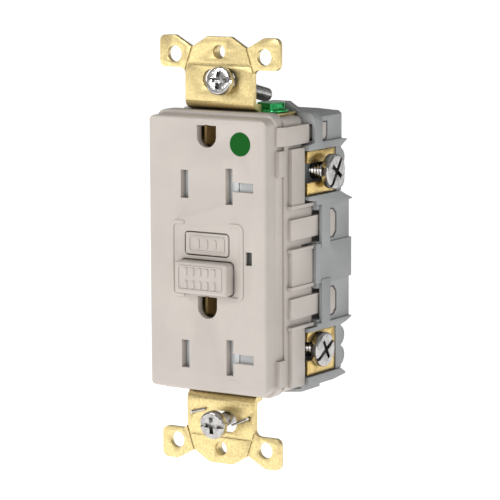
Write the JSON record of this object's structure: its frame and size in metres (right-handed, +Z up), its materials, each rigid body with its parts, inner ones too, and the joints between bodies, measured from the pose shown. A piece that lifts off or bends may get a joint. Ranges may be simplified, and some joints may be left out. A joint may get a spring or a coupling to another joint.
{
  "type": "gfci duplex receptacle",
  "caption": "Two-outlet ground-fault wall receptacle with a metal mounting strap, test and reset buttons, indicator lens, snap-fit body and side wiring screws.",
  "frame": {"origin": "midway between the two box-screw slots, on the rear plane of the strap ears", "axes": "+X to the right seen from the front, +Y into the wall, +Z up"},
  "size_m": [0.0423, 0.0393, 0.1042],
  "materials": {
    "almond_plastic": "light almond thermoplastic, fine satin",
    "black_epoxy": "moulded epoxy",
    "blue_epoxy": "epoxy-dipped",
    "board": "green solder mask",
    "brass_screw": "brass plate",
    "carrier_plastic": "dark moulded nylon",
    "clamp_steel": "zinc-plated steel",
    "contact_bronze": "phosphor bronze",
    "copper_winding": "enamelled copper wire",
    "green_inlay": "green inlay, satin",
    "green_screw": "green dye over zinc",
    "grey_plastic": "grey moulded thermoplastic",
    "led_epoxy": "clear tinted epoxy",
    "lens": "smoked light pipe",
    "natural_nylon": "natural nylon",
    "resistor_body": "lacquer",
    "screw_steel": "nickel plate",
    "shutter_nylon": "white nylon",
    "spring_steel": "bright spring wire",
    "strap_brass": "brass plate, lightly brushed",
    "terminal_brass": "stamped brass"
  },
  "bodies": {
    "housing": {"front_cover": "almond_plastic", "grade_dot": "green_inlay", "led_lens": "lens", "shutter_springs": "spring_steel", "mounting_strap": "strap_brass", "screw_retainer": "screw_steel", "upper_ground_contact": "contact_bronze", "lower_ground_contact": "contact_bronze", "ground_rivets": "strap_brass", "contact_carrier": "carrier_plastic", "neutral_face_bus": "contact_bronze", "hot_face_bus": "contact_bronze", "load_neutral_terminal": "terminal_brass", "load_hot_terminal": "terminal_brass", "line_neutral_terminal": "terminal_brass", "line_hot_terminal": "terminal_brass", "back_body": "grey_plastic", "circuit_board": "board", "sense_coil": "copper_winding", "grounded_neutral_coil": "copper_winding", "coil_housing": "carrier_plastic", "line_conductors": "contact_bronze", "solenoid_bobbin": "natural_nylon", "solenoid_winding": "copper_winding", "solenoid_frame": "clamp_steel", "plunger_spring": "spring_steel", "latch_spring": "spring_steel", "reset_spring": "spring_steel", "test_button_spring": "spring_steel", "surge_varistor": "blue_epoxy", "capacitors": "blue_epoxy", "resistors": "resistor_body", "control_chip": "black_epoxy", "trip_thyristor": "black_epoxy", "indicator_led": "led_epoxy"},
    "test_button": {"test_button": "almond_plastic"},
    "reset_button": {"reset_button": "almond_plastic", "reset_pin": "clamp_steel"},
    "upper_slider": {"upper_shutter_slider": "shutter_nylon"},
    "lower_slider": {"lower_shutter_slider": "shutter_nylon"},
    "upper_gate": {"upper_shutter_gate": "shutter_nylon"},
    "lower_gate": {"lower_shutter_gate": "shutter_nylon"},
    "top_box_screw": {"top_mounting_screw": "screw_steel"},
    "bottom_box_screw": {"bottom_mounting_screw": "screw_steel"},
    "green_screw": {"ground_screw": "green_screw"},
    "plunger": {"solenoid_plunger": "clamp_steel"},
    "latch_block": {"latch_block": "natural_nylon"},
    "latch_plate": {"latch_plate": "clamp_steel"},
    "neutral_arm": {"neutral_contact_arm": "contact_bronze"},
    "hot_arm": {"hot_contact_arm": "contact_bronze"},
    "test_leaf": {"test_leaf": "contact_bronze"},
    "load_neutral_clamp": {"load_neutral_clamp": "clamp_steel"},
    "load_neutral_screw": {"load_neutral_screw": "screw_steel"},
    "load_hot_clamp": {"load_hot_clamp": "clamp_steel"},
    "load_hot_screw": {"load_hot_screw": "brass_screw"},
    "line_neutral_clamp": {"line_neutral_clamp": "clamp_steel"},
    "line_neutral_screw": {"line_neutral_screw": "screw_steel"},
    "line_hot_clamp": {"line_hot_clamp": "clamp_steel"},
    "line_hot_screw": {"line_hot_screw": "brass_screw"}
  },
  "joints": [
    {"name": "test_button_slide", "type": "slide", "parent": "housing", "child": "test_button", "axis": [0, 1, 0], "range_m": [0, 0.0012], "stiffness_N_per_m": 300, "deforming": ["test_button_spring"]},
    {"name": "reset_button_slide", "type": "slide", "parent": "housing", "child": "reset_button", "axis": [0, 1, 0], "range_m": [0, 0.003], "stiffness_N_per_m": 400, "deforming": ["reset_spring"]},
    {"name": "upper_slider_slide", "type": "slide", "parent": "housing", "child": "upper_slider", "axis": [-1, 0, 0], "range_m": [0, 0.0026], "stiffness_N_per_m": 60, "deforming": ["shutter_springs"]},
    {"name": "upper_gate_slide", "type": "slide", "parent": "housing", "child": "upper_gate", "axis": [0, 0, -1], "range_m": [0, 0.0036]},
    {"name": "lower_slider_slide", "type": "slide", "parent": "housing", "child": "lower_slider", "axis": [-1, 0, 0], "range_m": [0, 0.0026], "stiffness_N_per_m": 60},
    {"name": "lower_gate_slide", "type": "slide", "parent": "housing", "child": "lower_gate", "axis": [0, 0, -1], "range_m": [0, 0.0036]},
    {"name": "top_box_screw_turn", "type": "hinge", "parent": "housing", "child": "top_box_screw", "pos_m": [0.0014, -0.00065, 0.04105], "axis": [0, 0.9744, -0.225], "continuous": true},
    {"name": "bottom_box_screw_turn", "type": "hinge", "parent": "housing", "child": "bottom_box_screw", "pos_m": [0.0011, -0.00065, -0.041], "axis": [0, 0.9962, 0.0872], "continuous": true},
    {"name": "green_screw_turn", "type": "hinge", "parent": "housing", "child": "green_screw", "pos_m": [0.0095, 0.007, 0.034], "axis": [0, 0, 1], "range_deg": [-720, 360]},
    {"name": "load_neutral_screw_turn", "type": "hinge", "parent": "housing", "child": "load_neutral_screw", "pos_m": [0.019, 0.0173, 0.0191], "axis": [-1, 0, 0], "range_deg": [0, 702.77]},
    {"name": "load_neutral_clamp_slide", "type": "slide", "parent": "housing", "child": "load_neutral_clamp", "axis": [1, 0, 0], "range_m": [0, 0.00155]},
    {"name": "load_hot_screw_turn", "type": "hinge", "parent": "housing", "child": "load_hot_screw", "pos_m": [-0.019, 0.0173, 0.0191], "axis": [1, 0, 0], "range_deg": [0, 702.77]},
    {"name": "load_hot_clamp_slide", "type": "slide", "parent": "housing", "child": "load_hot_clamp", "axis": [-1, 0, 0], "range_m": [0, 0.00155]},
    {"name": "line_neutral_screw_turn", "type": "hinge", "parent": "housing", "child": "line_neutral_screw", "pos_m": [0.019, 0.0147, -0.0244], "axis": [-1, 0, 0], "range_deg": [0, 702.77]},
    {"name": "line_neutral_clamp_slide", "type": "slide", "parent": "housing", "child": "line_neutral_clamp", "axis": [1, 0, 0], "range_m": [0, 0.00155]},
    {"name": "line_hot_screw_turn", "type": "hinge", "parent": "housing", "child": "line_hot_screw", "pos_m": [-0.019, 0.0147, -0.0244], "axis": [1, 0, 0], "range_deg": [0, 702.77]},
    {"name": "line_hot_clamp_slide", "type": "slide", "parent": "housing", "child": "line_hot_clamp", "axis": [-1, 0, 0], "range_m": [0, 0.00155]},
    {"name": "plunger_slide", "type": "slide", "parent": "housing", "child": "plunger", "axis": [0, 0, -1], "range_m": [0, 0.0006], "stiffness_N_per_m": 40, "deforming": ["plunger_spring"]},
    {"name": "latch_block_slide", "type": "slide", "parent": "housing", "child": "latch_block", "axis": [0, -1, 0], "range_m": [0, 0.0015]},
    {"name": "latch_plate_slide", "type": "slide", "parent": "latch_block", "child": "latch_plate", "axis": [0, 0, -1], "range_m": [0, 0.000601], "deforming": ["latch_spring"]},
    {"name": "neutral_arm_pivot", "type": "hinge", "parent": "housing", "child": "neutral_arm", "pos_m": [0.00635, 0.01455, -0.0152], "axis": [1, 0, 0], "range_deg": [0, 8.73]},
    {"name": "hot_arm_pivot", "type": "hinge", "parent": "housing", "child": "hot_arm", "pos_m": [-0.00635, 0.01455, -0.0152], "axis": [1, 0, 0], "range_deg": [0, 8.73]},
    {"name": "test_leaf_pivot", "type": "hinge", "parent": "housing", "child": "test_leaf", "pos_m": [-0.004, 0.0053, 0.00264], "axis": [0, 0, 1], "range_deg": [0, 22.93]}
  ],
  "couplings": [
    {"joint": "upper_gate_slide", "follows": "upper_slider_slide", "ratio": 1.3846},
    {"joint": "lower_gate_slide", "follows": "lower_slider_slide", "ratio": 1.3846},
    {"joint": "load_neutral_clamp_slide", "follows": "load_neutral_screw_turn", "m_per_rad": 0.00012637},
    {"joint": "load_hot_clamp_slide", "follows": "load_hot_screw_turn", "m_per_rad": 0.00012637},
    {"joint": "line_neutral_clamp_slide", "follows": "line_neutral_screw_turn", "m_per_rad": 0.00012637},
    {"joint": "line_hot_clamp_slide", "follows": "line_hot_screw_turn", "m_per_rad": 0.00012637},
    {"joint": "latch_plate_slide", "follows": "plunger_slide", "ratio": 1},
    {"joint": "neutral_arm_pivot", "follows": "latch_block_slide", "rad_per_m": 101.52},
    {"joint": "hot_arm_pivot", "follows": "latch_block_slide", "rad_per_m": 101.52},
    {"joint": "test_leaf_pivot", "follows": "test_button_slide", "rad_per_m": 333.33}
  ]
}
